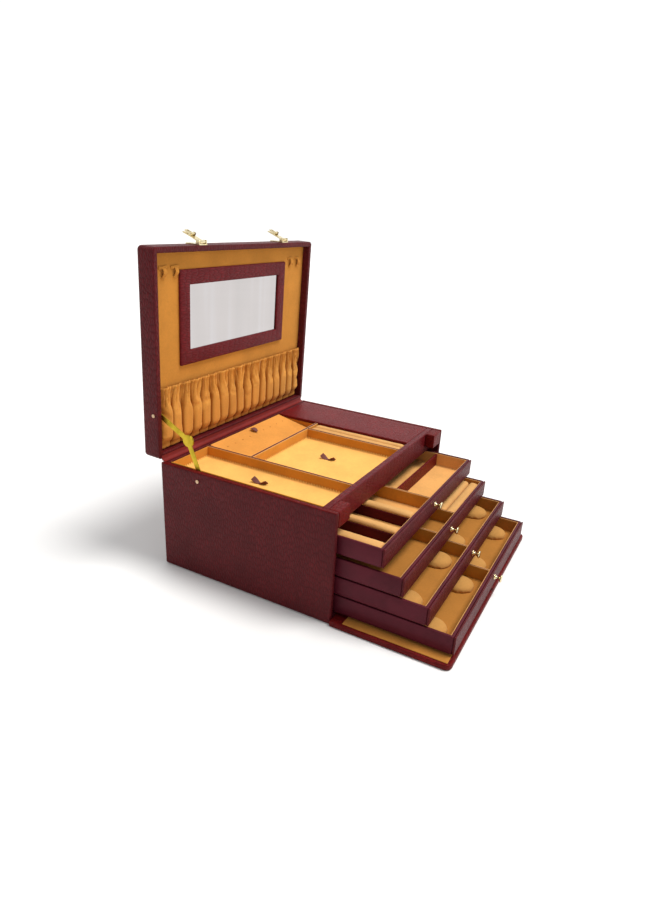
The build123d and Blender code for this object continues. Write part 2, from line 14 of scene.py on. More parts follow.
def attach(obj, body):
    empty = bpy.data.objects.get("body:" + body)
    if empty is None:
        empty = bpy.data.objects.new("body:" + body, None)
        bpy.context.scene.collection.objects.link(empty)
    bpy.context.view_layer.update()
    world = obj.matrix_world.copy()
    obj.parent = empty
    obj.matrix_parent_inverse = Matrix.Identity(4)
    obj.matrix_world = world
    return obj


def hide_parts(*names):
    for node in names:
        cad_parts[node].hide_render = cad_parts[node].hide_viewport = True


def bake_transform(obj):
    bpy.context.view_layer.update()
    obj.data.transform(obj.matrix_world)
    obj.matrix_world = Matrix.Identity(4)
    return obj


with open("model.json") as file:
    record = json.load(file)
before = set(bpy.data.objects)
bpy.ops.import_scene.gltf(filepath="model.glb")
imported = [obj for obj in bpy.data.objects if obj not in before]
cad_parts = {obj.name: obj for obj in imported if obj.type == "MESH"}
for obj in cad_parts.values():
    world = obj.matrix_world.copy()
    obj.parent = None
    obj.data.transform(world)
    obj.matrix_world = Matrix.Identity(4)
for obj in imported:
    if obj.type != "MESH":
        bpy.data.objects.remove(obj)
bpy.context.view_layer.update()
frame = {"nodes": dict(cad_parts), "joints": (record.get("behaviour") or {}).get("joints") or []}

MM = 0.001
ARC = 4  # steps round a rounded edge
SIM_FRAMES = 20
JOINTS = {j["name"]: j for j in frame["joints"]}


# ---- places ----
def swing(joint_name, degrees):
    """The turn of a hinge from its rest, as a matrix in millimetres."""
    joint = JOINTS[joint_name]
    pivot = Vector(joint["pos_m"]) / MM
    turn = Matrix.Rotation(math.radians(degrees), 4, Vector(joint["axis"]))
    return Matrix.Translation(pivot) @ turn @ Matrix.Translation(-pivot)


LID_CLOSED_AT = JOINTS["lid_hinge"]["range_deg"][0]
LID_SHUT = swing("lid_hinge", LID_CLOSED_AT)
LID_UP = LID_SHUT.inverted()


def corners_of(points):
    """Lowest and highest corners of the box round some points."""
    return tuple(Vector([pick(p[k] for p in points) for k in range(3)]) for pick in (min, max))


def place(node, turn=Matrix.Identity(4)):
    """Corners of a CAD node in millimetres, after a turn."""
    return corners_of([turn @ (v.co / MM) for v in frame["nodes"][node].data.vertices])


def shut(node):
    """Corners of a lid node as it lies with the lid closed."""
    return place(node, LID_SHUT)


def parts_of(node, turn=Matrix.Identity(4)):
    """Corners of each separate solid in a CAD node, from left to right, front to back."""
    mesh = frame["nodes"][node].data
    welded = {}
    ids = [welded.setdefault(tuple(round(c * 1e5) for c in v.co), len(welded)) for v in mesh.vertices]
    parent = list(range(len(welded)))

    def root(k):
        while parent[k] != k:
            parent[k] = parent[parent[k]]
            k = parent[k]
        return k

    for edge in mesh.edges:
        a, b = (root(ids[k]) for k in edge.vertices)
        parent[a] = b
    groups = {}
    for vertex, k in zip(mesh.vertices, ids):
        groups.setdefault(root(k), []).append(turn @ (vertex.co / MM))
    boxes = [corners_of(points) for points in groups.values()]
    return sorted(boxes, key=lambda b: (round(b[0].x, 1), round(b[0].y, 1), b[0].z))


def first_only(k, *nodes):
    """The CAD nodes that a run of pieces replaces, named by the first of them."""
    return nodes if k == 0 else ()


# ---- shader helpers ----
class Shader:
    """A procedural material under construction."""

    def __init__(self, name, **settings):
        self.material = bpy.data.materials.new(name)
        self.material.use_nodes = True
        self.tree = self.material.node_tree
        self.surface = self.tree.nodes["Principled BSDF"]
        for socket, value in settings.items():
            self.surface.inputs[socket.replace("_", " ")].default_value = value

    def add(self, kind, inputs=None, **settings):
        node = self.tree.nodes.new("ShaderNode" + kind)
        for key, value in settings.items():
            setattr(node, key, value)
        for key, value in (inputs or {}).items():
            if isinstance(value, bpy.types.NodeSocket):
                self.tree.links.new(value, node.inputs[key])
            else:
                node.inputs[key].default_value = value
        return node

    def math(self, operation, a, b=0.0):
        return self.add("Math", {0: a, 1: b}, operation=operation).outputs[0]

    def ramp(self, factor, *stops):
        node = self.add("ValToRGB", {0: factor})
        ramp = node.color_ramp
        while len(ramp.elements) < len(stops):
            ramp.elements.new(0.5)
        for element, (at, colour) in zip(ramp.elements, stops):
            element.position = at
            element.color = colour if len(colour) == 4 else (*colour, 1)
        return node.outputs[0]

    def grey_ramp(self, factor, *stops):
        return self.ramp(factor, *[(at, (level,) * 3) for at, level in stops])

    def noise(self, vector, scale, detail=3.0, rough=0.55):
        node = self.add("TexNoise", {"Vector": vector, "Scale": scale, "Detail": detail, "Roughness": rough})
        return node.outputs[0]

    def mix(self, factor, a, b, blend="MIX"):
        node = self.add("Mix", {0: factor, 6: a, 7: b}, data_type="RGBA", blend_type=blend)
        return node.outputs[2]

    def bump(self, height, strength, distance, normal=None):
        inputs = {"Height": height, "Strength": strength, "Distance": distance}
        if normal is not None:
            inputs["Normal"] = normal
        return self.add("Bump", inputs).outputs[0]

    def object_space(self):
        return self.add("TexCoord").outputs["Object"]

    def on_face(self):
        """In-plane coordinates of whichever axis the face looks along, so that a print lies flat on it."""
        coords = self.add("TexCoord")
        spot = self.add("SeparateXYZ", {0: coords.outputs["Object"]}).outputs
        facing = self.add("SeparateXYZ", {0: coords.outputs["Normal"]}).outputs
        sideways = self.math("GREATER_THAN", self.math("ABSOLUTE", facing[0]), 0.7)
        upward = self.math("GREATER_THAN", self.math("ABSOLUTE", facing[2]), 0.7)
        across = self.mix(sideways, self.as_colour(spot[0]), self.as_colour(spot[1]))
        along = self.mix(upward, self.as_colour(spot[2]), self.as_colour(spot[1]))
        return self.add("CombineXYZ", {0: across, 1: along}).outputs[0]

    def as_colour(self, value):
        return self.add("CombineXYZ", {0: value, 1: value, 2: value}).outputs[0]

    def finish(self, colour=None, roughness=None, normal=None):
        for socket, value in (("Base Color", colour), ("Roughness", roughness), ("Normal", normal)):
            if value is not None:
                self.tree.links.new(value, self.surface.inputs[socket])
        return self.material


def shade(colour, factor):
    """A colour made darker or lighter."""
    return tuple(min(1.0, c * factor) for c in colour)


def leather(name, base, print_size=None, roughness=0.42, gloss=0.12):
    """Dyed leather with a fine pebble grain and, where print_size is set, a crocodile print.

    print_size gives one scale of the print in millimetres: its size across, and up or along."""
    shader = Shader(name, Specular_IOR_Level=gloss)
    spot = shader.object_space()
    cloudy = shader.noise(spot, 30.0, 4.0)
    pores = shader.noise(spot, 1400.0, 2.0)
    colour = shader.ramp(cloudy, (0.36, shade(base, 0.84)), (0.5, base), (0.64, shade(base, 1.16)))
    height = shader.bump(pores, 0.12, 0.12 * MM)
    rough = shader.grey_ramp(pores, (0.3, roughness - 0.05), (0.7, roughness + 0.09))
    if print_size:
        flat = shader.on_face()
        wander = shader.noise(flat, 60.0, 3.0)
        warped = shader.add("VectorMath", {0: flat, 1: shader.add("VectorMath", {
            0: shader.as_colour(wander), "Scale": 7.0 * MM}, operation="SCALE").outputs[0]}, operation="ADD")
        cell_space = shader.add("Mapping", {"Vector": warped.outputs[0], "Scale": (
            1 / (print_size[0] * MM), 1 / (print_size[1] * MM), 1.0)}).outputs[0]
        cells, tints = (shader.add("TexVoronoi", {"Vector": cell_space, "Scale": 1.0, "Randomness": 0.9},
                                   voronoi_dimensions="2D", feature=feature)
                        for feature in ("DISTANCE_TO_EDGE", "F1"))
        groove = shader.grey_ramp(cells.outputs["Distance"], (0.0, 0), (0.16, 0.6), (0.42, 1))
        scale_tone = shader.grey_ramp(tints.outputs["Color"], (0.2, 0.86), (0.8, 1.0))
        colour = shader.mix(1.0, colour, scale_tone, "MULTIPLY")
        colour = shader.mix(groove, (*shade(base, 0.60), 1), colour)
        height = shader.bump(groove, 0.6, 0.6 * MM, height)
    return shader.finish(colour, rough, height)


def suede(name, base, nap=0.10, mottle=0.09, fold_shaded=False):
    """Napped suede: soft cloudy shading where the pile is brushed, and a fine fibrous bump.

    Where that flag is set, painted shade darkens the colour inside the folds, by as much as the mesh stores on each
    point."""
    shader = Shader(name, Specular_IOR_Level=0.1, Sheen_Weight=nap, Sheen_Roughness=0.5,
                    Sheen_Tint=(1.0, 0.80, 0.50, 1))
    spot = shader.object_space()
    brushed = shader.noise(spot, 26.0, 3.0)
    nubs = shader.noise(spot, 380.0, 4.0, 0.65)
    fibre = shader.noise(spot, 2600.0, 2.0)
    tone = shader.math("ADD", shader.math("MULTIPLY", brushed, 0.6), shader.math("MULTIPLY", nubs, 0.4))
    colour = shader.ramp(tone, (0.38, shade(base, 1 - mottle)), (0.5, base), (0.62, shade(base, 1 + mottle)))
    # Painted shade: a deeper, darker copy of the colour, mixed in where the mesh marks the folds as shaded.
    if fold_shaded:
        fold_shade = shader.add("Attribute", attribute_name="fold_shade").outputs["Fac"]
        fold_shade_colour = tuple(c * k for c, k in zip(base, (0.36, 0.22, 0.10)))
        colour = shader.mix(shader.grey_ramp(fold_shade, (0.1, 0), (1.0, 1)), colour, (*fold_shade_colour, 1))
    rough = shader.grey_ramp(nubs, (0.3, 0.86), (0.7, 0.97))
    fine = shader.bump(fibre, 0.25, 0.1 * MM)
    return shader.finish(colour, rough, shader.bump(nubs, 0.10, 0.2 * MM, fine))


def metal(name, base, worn, roughness, brush=(1.0, 1.0, 1.0)):
    """Plated or drawn metal with faint handling marks."""
    shader = Shader(name, Metallic=1.0)
    spot = shader.object_space()
    drawn = shader.noise(shader.add("Mapping", {"Vector": spot, "Scale": brush}).outputs[0], 900.0, 3.0)
    handled = shader.noise(spot, 120.0, 3.0)
    colour = shader.ramp(handled, (0.35, worn), (0.62, base))
    rough = shader.grey_ramp(drawn, (0.3, roughness), (0.75, roughness + 0.12))
    return shader.finish(colour, rough, shader.bump(drawn, 0.06, 0.05 * MM))


CROC = leather("croc_leather", (0.118, 0.010, 0.013), (2.6, 8.0))
CROC_TOP = leather("croc_leather_cover", (0.185, 0.011, 0.013), (2.6, 8.0))
CROC_WIDE = leather("croc_leather_across", (0.155, 0.010, 0.014), (10.0, 2.6))
CROC_RED = leather("croc_leather_red", (0.160, 0.008, 0.008), (9.0, 2.6), gloss=0.08)
SPINE = leather("spine_leather", (0.200, 0.024, 0.021), gloss=0.1)
SMOOTH = leather("smooth_leather", (0.086, 0.009, 0.017))
DARK = leather("dark_leather", (0.075, 0.005, 0.008), roughness=0.5, gloss=0.08)
LEAF = leather("leaf_leather", (0.170, 0.060, 0.050), roughness=0.55, gloss=0.1)
# Painted shade: the earring holes' darker suede stands in for the shade inside each hole.
HOLE_SHADE = suede("painted_hole_shade", (0.42, 0.15, 0.03))
# The well's walls and lining take a deeper, darker suede than the floor pads: partly their own tone, partly painted
# shade for the walls.
WELL = suede("well_suede", (0.62, 0.26, 0.036))
FLOOR_PAD = suede("floor_pad_suede", (0.90, 0.50, 0.13))
LINING = suede("lid_lining_suede", (0.57, 0.235, 0.038))
# The pocket's suede darkens in its folds by painted shade.
POCKET = suede("pocket_suede", (0.66, 0.29, 0.056), fold_shaded=True)
PANEL = suede("panel_suede", (0.72, 0.31, 0.064))
DRAWER_FLOOR = suede("drawer_suede", (0.47, 0.195, 0.037))
TOP_DRAWER = suede("top_drawer_suede", (0.80, 0.41, 0.130))
PAD_TOP = suede("padded_top_suede", (0.68, 0.37, 0.13))
BOLSTER = suede("bolster_suede", (0.55, 0.275, 0.076))
PALE = suede("suede_cut_edge", (0.72, 0.38, 0.14))
BRASS = metal("polished_brass", (0.87, 0.76, 0.48), (0.78, 0.63, 0.34), 0.16)
STAY = metal("yellow_brass", (0.56, 0.40, 0.035), (0.42, 0.30, 0.022), 0.30, (1.0, 0.08, 0.08))
RIVET = metal("dull_brass", (0.60, 0.42, 0.28), (0.48, 0.32, 0.19), 0.34)
STEEL = metal("drawn_wire", (0.62, 0.61, 0.59), (0.48, 0.47, 0.45), 0.28, (0.05, 1.0, 1.0))


def papered_board():
    """Board wrapped in dark burgundy paper, with a faint linen press."""
    shader = Shader("papered_board", Specular_IOR_Level=0.2)
    spot = shader.object_space()
    linen = shader.add("TexBrick", {"Vector": shader.on_face(), "Scale": 900.0, "Mortar Size": 0.04})
    tone = shader.ramp(shader.noise(spot, 30.0), (0.35, (0.035, 0.004, 0.007)), (0.7, (0.060, 0.008, 0.012)))
    rough = shader.grey_ramp(shader.noise(spot, 300.0), (0.3, 0.6), (0.7, 0.75))
    return shader.finish(tone, rough, shader.bump(linen.outputs["Fac"], 0.1, 0.05 * MM))


def silvered_glass():
    """Mirror glass: soft upright lighter streaks in its colour, a painted reflection of the light across it."""
    shader = Shader("silvered_glass", Metallic=1.0)
    upright = shader.add("Mapping", {"Vector": shader.object_space(), "Scale": (1.0, 1.0, 0.04)}).outputs[0]
    reflection_streaks = shader.noise(upright, 30.0, 2.0)
    # Painted reflection: the colour lightens in soft upright streaks, standing in for light reflected across the
    # glass.
    colour = shader.ramp(reflection_streaks, (0.36, (0.49, 0.47, 0.47)), (0.55, (0.52, 0.495, 0.495)), (0.70, (0.56, 0.55, 0.57)))
    rough = shader.grey_ramp(reflection_streaks, (0.4, 0.03), (0.75, 0.08))
    return shader.finish(colour, rough)


BOARD = papered_board()
GLASS = silvered_glass()


# ---- mesh helpers ----
def add_object(name, data):
    made = bpy.data.objects.new(name, data)
    bpy.context.scene.collection.objects.link(made)
    return made


def drift(x, y, z=0.0):
    """Smooth noise at a spot, from about -1 to 1."""
    return noise.noise(Vector((x, y, z)))


def ways(count):
    """Even steps of the way along, from 0 to 1."""
    return [k / count for k in range(count + 1)]


def quarter():
    """Even steps of a right angle, in radians."""
    return [math.radians(90 * k / ARC) for k in range(ARC + 1)]


def grid_quads(nx, ny):
    """Corner numbers of each face of an nx by ny grid, stored column by column."""
    for i in range(nx):
        for j in range(ny):
            a = i * (ny + 1) + j
            yield a, a + ny + 1, a + ny + 2, a + 1


def piece(name, mesh_data, material, body, replaces=(), turn=Matrix.Identity(4), sharp=40, soften=None):
    """Make an object from points and faces in millimetres, and hang it on its CAD body.

    soften, if given, reworks the finished object before it rides on its body."""
    points, faces = mesh_data
    mesh = bpy.data.meshes.new(name)
    mesh.from_pydata([(turn @ Vector(p)) * MM for p in points], [], faces)
    mesh.validate()
    work = bmesh.new()
    work.from_mesh(mesh)
    bmesh.ops.recalc_face_normals(work, faces=work.faces)
    work.to_mesh(mesh)
    work.free()
    mesh.shade_smooth()
    mesh.set_sharp_from_angle(angle=math.radians(sharp))
    mesh.materials.append(material)
    made = add_object(name, mesh)
    if soften:
        soften(made)
    if body:
        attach(made, body)
    if replaces:
        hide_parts(*replaces)
    return made


def together(*meshes):
    """Several point-and-face lists as one."""
    points, faces = [], []
    for more_points, more_faces in meshes:
        start = len(points)
        points += more_points
        faces += [tuple(k + start for k in face) for face in more_faces]
    return points, faces


def stops(low, high, radius, inner):
    """Grid stops along one side: close together over the rounded ends and even between them."""
    bends = [radius * (1 - math.tan(math.pi / 4 * (1 - k / ARC))) for k in range(ARC + 1)]
    span = high - low - 2 * radius
    middle = [low + radius + span * k / inner for k in range(1, inner)]
    return [low + b for b in bends] + middle + [high - b for b in reversed(bends)]


def rounded(low, high, radius=1.2, cuts=(1, 1, 1), shape=None):
    """A rounded board or block. shape, if given, moves each finished point."""
    low, high = Vector(low), Vector(high)
    radius = min(radius, min(high - low) / 2 - 0.01)
    grid = [stops(low[k], high[k], radius, cuts[k]) for k in range(3)]
    last = [len(g) - 1 for g in grid]
    index, points, faces = {}, [], []

    def at(key):
        if key not in index:
            raw = Vector([grid[k][key[k]] for k in range(3)])
            core = Vector([min(max(raw[k], low[k] + radius), high[k] - radius) for k in range(3)])
            out = raw - core
            point = core + out.normalized() * radius if out.length > 1e-9 else raw
            index[key] = len(points)
            points.append(shape(point) if shape else point)
        return index[key]

    for axis in range(3):
        u, v = [k for k in range(3) if k != axis]
        for end in (0, last[axis]):
            for i in range(last[u]):
                for j in range(last[v]):
                    corners = []
                    for du, dv in ((0, 0), (1, 0), (1, 1), (0, 1)):
                        key = [0, 0, 0]
                        key[axis], key[u], key[v] = end, i + du, j + dv
                        corners.append(at(tuple(key)))
                    outward = (end > 0) == (axis != 1)
                    faces.append(tuple(corners if outward else reversed(corners)))
    return points, faces


def ring(x0, y0, x1, y1, radius, z, corner=5, back=None):
    """Points of a level rounded rectangle, anticlockwise. back is the radius of the two corners at y1, if unlike."""
    radius = max(0.05, min(radius, (x1 - x0) / 2 - 0.01, (y1 - y0) / 2 - 0.01))
    rear = radius if back is None else back
    points = []
    for x, y, r, start in ((x1 - rear, y1 - rear, rear, 0), (x0 + rear, y1 - rear, rear, 90),
                           (x0 + radius, y0 + radius, radius, 180), (x1 - radius, y0 + radius, radius, 270)):
        for k in range(corner + 1):
            angle = math.radians(start + 90 * k / corner)
            points.append(Vector((x + r * math.cos(angle), y + r * math.sin(angle), z)))
    return points


def inset_ring(low, high, inset, radius, z):
    """A level rounded rectangle this far inside a box's sides."""
    return ring(low.x + inset, low.y + inset, high.x - inset, high.y - inset, radius, z)


def lofted(rings, closed=False):
    """Skin a stack of rings, capped at both ends, or joined end to end where closed."""
    count = len(rings[0])
    points = [p for r in rings for p in r]
    faces = []
    pairs = len(rings) if closed else len(rings) - 1
    for k in range(pairs):
        a, b = k * count, ((k + 1) % len(rings)) * count
        for i in range(count):
            j = (i + 1) % count
            faces.append((a + i, a + j, b + j, b + i))
    if not closed:
        faces.append(tuple(reversed(range(count))))
        faces.append(tuple((len(rings) - 1) * count + i for i in range(count)))
    return points, faces


def roll_edge(low, high, inset, z, radius, corner, turn_from=0, turn_to=90, sign=1):
    """Rings that carry a wall round an edge. Angle 0 is the upright wall and 90 the level face."""
    rings = []
    for k in range(ARC + 1):
        angle = math.radians(turn_from + (turn_to - turn_from) * k / ARC)
        step_in = inset + radius * (1 - math.cos(angle))
        rings.append(inset_ring(low, high, step_in, corner - step_in, z + sign * radius * math.sin(angle)))
    return rings


def swept(path, half_wide, half_thick, across):
    """A flat strap along a path. half_wide and across may be functions of the way along, from 0 to 1."""
    rings = []
    for k, point in enumerate(path):
        way = k / (len(path) - 1)
        wide = half_wide(way) if callable(half_wide) else half_wide
        ahead = (path[min(k + 1, len(path) - 1)] - path[max(k - 1, 0)]).normalized()
        side = Vector(across(way) if callable(across) else across)
        side = (side - ahead * side.dot(ahead)).normalized()
        up = side.cross(ahead).normalized()
        section = []
        for j in range(12):
            angle = math.tau * j / 12
            reach = abs(math.cos(angle)) ** 0.45 * math.copysign(1, math.cos(angle))
            depth = abs(math.sin(angle)) ** 0.6 * math.copysign(1, math.sin(angle))
            section.append(point + side * wide * reach + up * half_thick * depth)
        rings.append(section)
    return lofted(rings)


def turned(profile, origin, axis, steps=28):
    """A lathed piece: profile lists (distance along the axis, radius), from one end to the other."""
    axis = Vector(axis).normalized()
    side = axis.orthogonal().normalized()
    other = axis.cross(side)
    rings = []
    for along, radius in profile:
        centre = Vector(origin) + axis * along
        radius = max(radius, 0.02)
        rings.append([centre + side * radius * math.cos(math.tau * k / steps)
                      + other * radius * math.sin(math.tau * k / steps) for k in range(steps)])
    return lofted(rings)


def extruded(section, half, steps=40):
    """A closed section in the YZ plane, carried along X from -half to half."""
    return lofted([[Vector((half * (2 * k / steps - 1), y, z)) for y, z in section] for k in range(steps + 1)])


def around(nx, ny):
    """Pairs of neighbouring points round the rim of an nx by ny grid, stored column by column."""
    rim = [i * (ny + 1) for i in range(nx + 1)]
    rim += [nx * (ny + 1) + j for j in range(1, ny + 1)]
    rim += [i * (ny + 1) + ny for i in range(nx - 1, -1, -1)]
    rim += [j for j in range(ny - 1, 0, -1)]
    return zip(rim, rim[1:] + rim[:1])


def smooth(t):
    """0 below 0, 1 above 1, and a soft step between."""
    t = max(0.0, min(1.0, t))
    return t * t * (3 - 2 * t)


def evaluated(made):
    return made.evaluated_get(bpy.context.evaluated_depsgraph_get())


def settle(made, cap, keep_inside, pressure=0.0, pin=None, grow=0.0):
    """Run the mesh as cloth for SIM_FRAMES frames and write the result into it.

    No point ends further than cap millimetres from where it began, or outside keep_inside's space."""
    cloth = made.modifiers.new("cloth", "CLOTH")
    settings = cloth.settings
    settings.quality = 6
    settings.effector_weights.gravity = 0
    if pressure:
        settings.use_pressure = True
        settings.uniform_pressure_force = pressure
    if pin:
        settings.vertex_group_mass = pin
    settings.shrink_min = -grow
    cloth.point_cache.frame_end = SIM_FRAMES
    scene = bpy.context.scene
    for frame_number in range(1, SIM_FRAMES + 1):
        scene.frame_set(frame_number)
    moved = [v.co.copy() for v in evaluated(made).data.vertices]
    made.modifiers.remove(cloth)
    scene.frame_set(1)
    for vertex, spot in zip(made.data.vertices, moved):
        step = spot - vertex.co
        if step.length > cap * MM:
            step *= cap * MM / step.length
        vertex.co = keep_inside((vertex.co + step) / MM) * MM
    made.data.update()


def swell(made, voxel, cap, box):
    """Remesh a padded piece evenly, blow it up as cloth inside its box, and subdivide it once."""
    low, high, base = box
    remesh = made.modifiers.new("remesh", "REMESH")
    remesh.mode = "VOXEL"
    remesh.voxel_size = voxel * MM
    fresh = bpy.data.meshes.new_from_object(evaluated(made))
    made.modifiers.remove(remesh)
    made.data = fresh
    settle(made, cap, lambda spot: Vector((min(max(spot.x, low.x), high.x), min(max(spot.y, low.y), high.y),
                                           max(spot.z, base))), pressure=4.0)
    made.data.shade_smooth()
    rounder = made.modifiers.new("rounder", "SUBSURF")
    rounder.levels = rounder.render_levels = 1


def wavy(amount, size, seed=0.0):
    """A shape for rounded(): lifts points gently up and down, as padded cloth over board."""
    def shape(point):
        return point + Vector((0, 0, amount * drift(point.x / size, point.y / size, seed)))
    return shape


# ---- camera, light and floor ----
CAMERA_AZIMUTH = -62.93
CAMERA_HEIGHT = 22.42
CAMERA_ROLL = 3.49
CAMERA_AIM = Vector((10.6, -20.6, 107.4))
CAMERA_DISTANCE = 811.9
SENSOR_WIDTH = 36.0
LENS = 24.8
LENS_SHIFT = (-0.003, 0.016)
CLIP = (0.01, 50.0)
BACKDROP_TOWARD = (0.89, 0.455, 0.0)
BACKDROP_LEVELS = {"From Min": -0.2, "From Max": 0.78, "To Min": 0.42, "To Max": 1.06}
LAMP_ENERGY = 2.7
LAMP_ANGLE = 24
LAMP_COLOUR = (1.0, 0.98, 0.95)
LAMP_SHINES = Vector((-0.20, 0.42, -1.0))
FLOOR_HALF = 6000.0
FLOOR_CELLS = 8
FLOOR_Z = -0.4


def camera():
    azimuth, height = math.radians(CAMERA_AZIMUTH), math.radians(CAMERA_HEIGHT)
    back = Vector((math.sin(azimuth) * math.cos(height), -math.cos(azimuth) * math.cos(height), math.sin(height)))
    right = Vector((0, 0, 1)).cross(back).normalized()
    up = back.cross(right)
    turn = Matrix((right, up, back)).transposed().to_4x4()
    data = bpy.data.cameras.new("camera")
    data.sensor_width = SENSOR_WIDTH
    data.lens = LENS
    data.shift_x, data.shift_y = LENS_SHIFT
    data.clip_start, data.clip_end = CLIP
    made = add_object("camera", data)
    roll = Matrix.Rotation(math.radians(CAMERA_ROLL), 4, "Z")
    made.matrix_world = Matrix.Translation((CAMERA_AIM + back * CAMERA_DISTANCE) * MM) @ turn @ roll
    bpy.context.scene.camera = made


def studio():
    """A dim room with a white backdrop behind the case and one broad lamp high above its front."""
    scene = bpy.context.scene
    world = bpy.data.worlds.new("studio")
    world.use_nodes = True
    tree = world.node_tree
    toward = tree.nodes.new("ShaderNodeVectorMath")
    toward.operation = "DOT_PRODUCT"
    toward.inputs[1].default_value = BACKDROP_TOWARD
    level = tree.nodes.new("ShaderNodeMapRange")
    for socket, value in BACKDROP_LEVELS.items():
        level.inputs[socket].default_value = value
    tree.links.new(tree.nodes.new("ShaderNodeTexCoord").outputs["Generated"], toward.inputs[0])
    tree.links.new(toward.outputs["Value"], level.inputs["Value"])
    tree.links.new(level.outputs["Result"], tree.nodes["Background"].inputs["Strength"])
    tree.nodes["Background"].inputs["Color"].default_value = (1.0, 1.0, 1.0, 1)
    scene.world = world
    scene.view_settings.view_transform = "Standard"
    data = bpy.data.lights.new("key", "SUN")
    data.energy = LAMP_ENERGY
    data.angle = math.radians(LAMP_ANGLE)
    data.color = LAMP_COLOUR
    add_object("key", data).rotation_euler = LAMP_SHINES.to_track_quat("-Z", "Y").to_euler()


def floor():
    """A plain pale floor, with a faint unevenness."""
    shader = Shader("pale_floor", Specular_IOR_Level=0.1)
    cloudy = shader.noise(shader.object_space(), 1.5)
    tone = shader.grey_ramp(cloudy, (0.3, 0.90), (0.7, 0.93))
    rough = shader.grey_ramp(cloudy, (0.3, 0.8), (0.7, 0.9))
    stops_at = [FLOOR_HALF * (2 * k / FLOOR_CELLS - 1) for k in range(FLOOR_CELLS + 1)]
    points = [Vector((x, y, FLOOR_Z)) * MM for x in stops_at for y in stops_at]
    mesh = bpy.data.meshes.new("floor")
    mesh.from_pydata(points, [], list(grid_quads(FLOOR_CELLS, FLOOR_CELLS)))
    mesh.materials.append(shader.finish(tone, rough))
    made = add_object("floor", mesh)


camera()
studio()
floor()


# ---- case boards ----
def case_boards():
    ends = parts_of("side_boards")
    for side, (low, high) in zip(("left", "right"), ends):
        made = piece(f"end_board_{side}", rounded(low, high, 2.0, (1, 10, 8)), CROC, "case")
        if side == "left":
            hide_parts("side_boards")
        # A leather bead along the board's top edge; its redder tone is partly painted highlight, standing in for the
        # light that runs along these edges.
        rim = rounded((low.x + 0.5, low.y + 0.6, high.z - 1.4), (high.x - 0.1, high.y - 0.6, high.z + 0.1), 0.7,
                      (1, 12, 1))
        piece(f"top_edge_{side}", rim, CROC_RED, "case")
    low, high = place("back_board")
    piece("back_panel", rounded(low, high, 1.4, (12, 1, 8)), CROC, "case", ["back_board"])
    rail, *corners = sorted(parts_of("front_rail"), key=lambda b: b[0].x - b[1].x)
    piece("rail", rounded(*rail, 1.4, (12, 1, 2)), CROC_WIDE, "case", ["front_rail"])
    for side, (low, high) in zip(("left", "right"), sorted(corners, key=lambda b: b[0].x)):
        piece(f"rail_corner_{side}", rounded(low, high, 1.4), CROC_RED, "case")
    boards = parts_of("right_cover")
    top, wall = sorted(boards, key=lambda b: b[0].x - b[1].x)
    piece("cover_panel", rounded(*top, 1.2, (6, 14, 1)), CROC_TOP, "case", ["right_cover"])
    piece("cover_wall", rounded(*wall, 0.4), WELL, "case")


# ---- the well ----
SKIN = 0.9  # suede glued to each side of a partition


def lined_wall(name, low, high, body, replaces=(), top_drop=0.7):
    """A partition: a leather core that shows on top, with a suede skin on both faces and a cut edge."""
    low, high = Vector(low), Vector(high)
    thin = 0 if high.x - low.x < high.y - low.y else 1
    inner_low, inner_high = low.copy(), high.copy()
    inner_low[thin] += SKIN
    inner_high[thin] -= SKIN
    piece(f"{name}_core", rounded(inner_low, inner_high, 0.6), SMOOTH, body, replaces)
    skins, edges = [], []
    for near in (True, False):
        skin_low, skin_high = low.copy(), high.copy()
        if near:
            skin_high[thin] = low[thin] + SKIN
        else:
            skin_low[thin] = high[thin] - SKIN
        skin_high.z -= top_drop
        edge_low, edge_high = skin_low.copy(), skin_high.copy()
        edge_low.z = skin_high.z - 0.5
        edge_high.z = skin_high.z + 0.35
        skin_high.z -= 0.4
        skins.append(rounded(skin_low, skin_high, 0.25))
        edges.append(rounded(edge_low, edge_high, 0.3))
    piece(f"{name}_skins", together(*skins), WELL, body)
    piece(f"{name}_edges", together(*edges), PALE, body)


def well():
    walls = parts_of("well_partitions")
    names = ("stay_slot_wall", "tray_wall", "panel_wall", "roll_wall")
    for k, (name, (low, high)) in enumerate(zip(names, walls)):
        replaces = first_only(k, "well_partitions")
        if high.x - low.x < 2 or high.y - low.y < 2:
            piece(name, rounded(low, high, 0.6), WELL, "case", replaces)
        else:
            lined_wall(name, low, high, "case", replaces)
    linings = [rounded(low, high, 0.3) for low, high in parts_of("well_lining")]
    piece("well_suede", together(*linings), WELL, "case", ["well_lining"])
    for k, (low, high) in enumerate(parts_of("ring_rolls")):
        made = piece(f"ring_roll_{k + 1}", rounded(low, high, 4.5, (2, 40, 2), wavy(0.35, 9.0, k)), PAD_TOP,
                     "case", first_only(k, "ring_rolls"))


TOOTH = 3.6  # pitch of the pinked edges
TOOTH_UP = 2.8
NOTCH_UP = 0.3
TURN_UP = 1.0  # how wide the strip is that turns up against the walls


